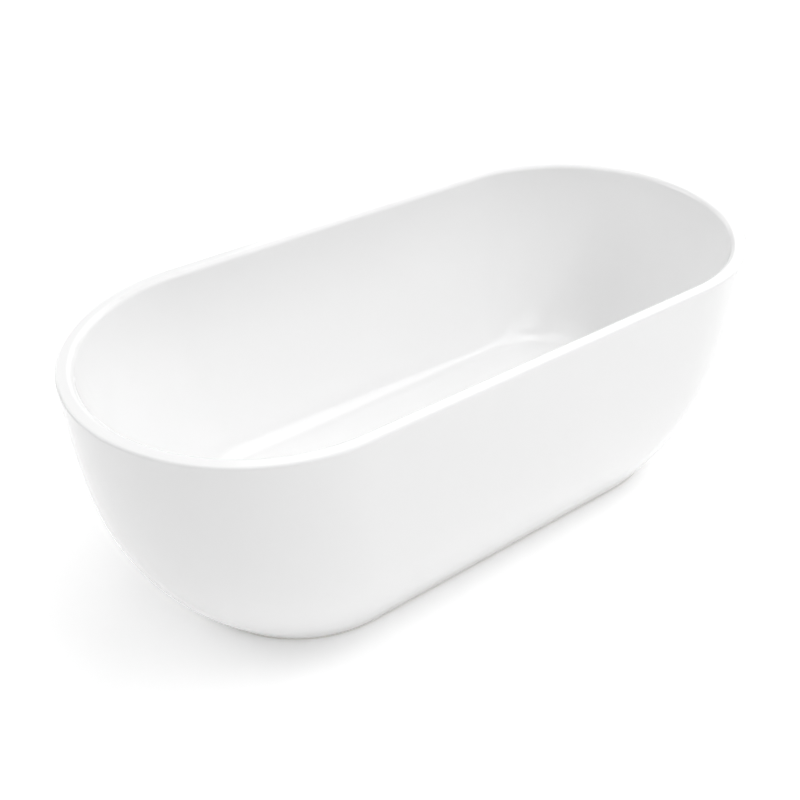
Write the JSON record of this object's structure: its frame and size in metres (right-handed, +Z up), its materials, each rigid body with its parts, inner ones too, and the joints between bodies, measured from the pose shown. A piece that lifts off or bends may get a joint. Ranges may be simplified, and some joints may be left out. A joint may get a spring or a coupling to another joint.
{
  "type": "freestanding bathtub",
  "caption": "Freestanding oval bath: acrylic basin rolled over a tapering skirt shell, on a steel frame with levelling feet, with click-clack waste and overflow.",
  "frame": {"origin": "on the floor, under the middle of the bath", "axes": "+X along the bath's length, +Y away from the overflow, +Z up"},
  "size_m": [1.6996, 0.8, 0.6],
  "materials": {
    "acrylic": "glossy white cast acrylic",
    "laminate": "glass-reinforced resin, unpainted",
    "board": "chipboard under a thin resin coat",
    "block_wood": "sawn softwood",
    "galvanised_steel": "galvanised",
    "zinc_steel": "zinc plated",
    "black_plastic": "moulded",
    "chrome": "polished",
    "brass": "turned",
    "rubber": "moulded",
    "white_plastic": "moulded polypropylene",
    "hose_plastic": "corrugated flexible hose"
  },
  "bodies": {
    "bath": {"base_board": "board", "board_screws": "zinc_steel", "bracket_screws": "zinc_steel", "click_core": "brass", "click_spring": "zinc_steel", "cross_bar_left": "galvanised_steel", "cross_bar_middle": "galvanised_steel", "cross_bar_right": "galvanised_steel", "foot_lock_nuts": "zinc_steel", "foot_weld_nuts": "zinc_steel", "frame_rail_back": "galvanised_steel", "frame_rail_front": "galvanised_steel", "hose_clip_bottom": "zinc_steel", "hose_clip_top": "zinc_steel", "inner_basin": "acrylic", "outer_shell": "acrylic", "overflow_body": "white_plastic", "overflow_cover": "chrome", "overflow_gasket": "rubber", "overflow_hose": "hose_plastic", "overflow_screw": "chrome", "rim_bonding_strip": "laminate", "skirt_block_left_back": "block_wood", "skirt_block_left_front": "block_wood", "skirt_block_right_back": "block_wood", "skirt_block_right_front": "block_wood", "skirt_bracket_left_back": "zinc_steel", "skirt_bracket_left_front": "zinc_steel", "skirt_bracket_right_back": "zinc_steel", "skirt_bracket_right_front": "zinc_steel", "trap_body": "white_plastic", "trap_inlet_nut": "white_plastic", "trap_inlet_washer": "rubber", "trap_outlet_nut": "white_plastic", "trap_outlet_washer": "rubber", "tube_end_caps": "black_plastic", "waste_body": "white_plastic", "waste_flange": "chrome", "waste_lower_seal": "rubber", "waste_upper_seal": "rubber"},
    "plug": {"plug_cap": "chrome", "plug_seal": "rubber", "click_sleeve": "brass"},
    "foot_1_pad": {"foot_pad_1": "black_plastic"},
    "foot_1_stud": {"foot_stud_1": "zinc_steel"},
    "foot_2_pad": {"foot_pad_2": "black_plastic"},
    "foot_2_stud": {"foot_stud_2": "zinc_steel"},
    "foot_3_pad": {"foot_pad_3": "black_plastic"},
    "foot_3_stud": {"foot_stud_3": "zinc_steel"},
    "foot_4_pad": {"foot_pad_4": "black_plastic"},
    "foot_4_stud": {"foot_stud_4": "zinc_steel"},
    "foot_5_pad": {"foot_pad_5": "black_plastic"},
    "foot_5_stud": {"foot_stud_5": "zinc_steel"}
  },
  "joints": [
    {"name": "plug_slide", "type": "slide", "parent": "bath", "child": "plug", "axis": [0, 0, 1], "range_m": [0, 0.009], "deforming": ["click_spring"]},
    {"name": "foot_1_height", "type": "slide", "parent": "bath", "child": "foot_1_pad", "axis": [0, 0, -1], "range_m": [-0.003, 0.02]},
    {"name": "foot_1_turn", "type": "hinge", "parent": "foot_1_pad", "child": "foot_1_stud", "pos_m": [-0.43, -0.175, 0.05], "axis": [0, 0, -1], "range_deg": [-720, 4800]},
    {"name": "foot_2_height", "type": "slide", "parent": "bath", "child": "foot_2_pad", "axis": [0, 0, -1], "range_m": [-0.003, 0.02]},
    {"name": "foot_2_turn", "type": "hinge", "parent": "foot_2_pad", "child": "foot_2_stud", "pos_m": [-0.43, 0.175, 0.05], "axis": [0, 0, -1], "range_deg": [-720, 4800]},
    {"name": "foot_3_height", "type": "slide", "parent": "bath", "child": "foot_3_pad", "axis": [0, 0, -1], "range_m": [-0.003, 0.02]},
    {"name": "foot_3_turn", "type": "hinge", "parent": "foot_3_pad", "child": "foot_3_stud", "pos_m": [0.43, -0.175, 0.05], "axis": [0, 0, -1], "range_deg": [-720, 4800]},
    {"name": "foot_4_height", "type": "slide", "parent": "bath", "child": "foot_4_pad", "axis": [0, 0, -1], "range_m": [-0.003, 0.02]},
    {"name": "foot_4_turn", "type": "hinge", "parent": "foot_4_pad", "child": "foot_4_stud", "pos_m": [0.43, 0.175, 0.05], "axis": [0, 0, -1], "range_deg": [-720, 4800]},
    {"name": "foot_5_height", "type": "slide", "parent": "bath", "child": "foot_5_pad", "axis": [0, 0, -1], "range_m": [-0.003, 0.02]},
    {"name": "foot_5_turn", "type": "hinge", "parent": "foot_5_pad", "child": "foot_5_stud", "pos_m": [0.13, 0, 0.05], "axis": [0, 0, -1], "range_deg": [-720, 4800]}
  ],
  "couplings": [
    {"joint": "foot_1_turn", "follows": "foot_1_height", "rad_per_m": 4188.8},
    {"joint": "foot_2_turn", "follows": "foot_2_height", "rad_per_m": 4188.8},
    {"joint": "foot_3_turn", "follows": "foot_3_height", "rad_per_m": 4188.8},
    {"joint": "foot_4_turn", "follows": "foot_4_height", "rad_per_m": 4188.8},
    {"joint": "foot_5_turn", "follows": "foot_5_height", "rad_per_m": 4188.8}
  ]
}
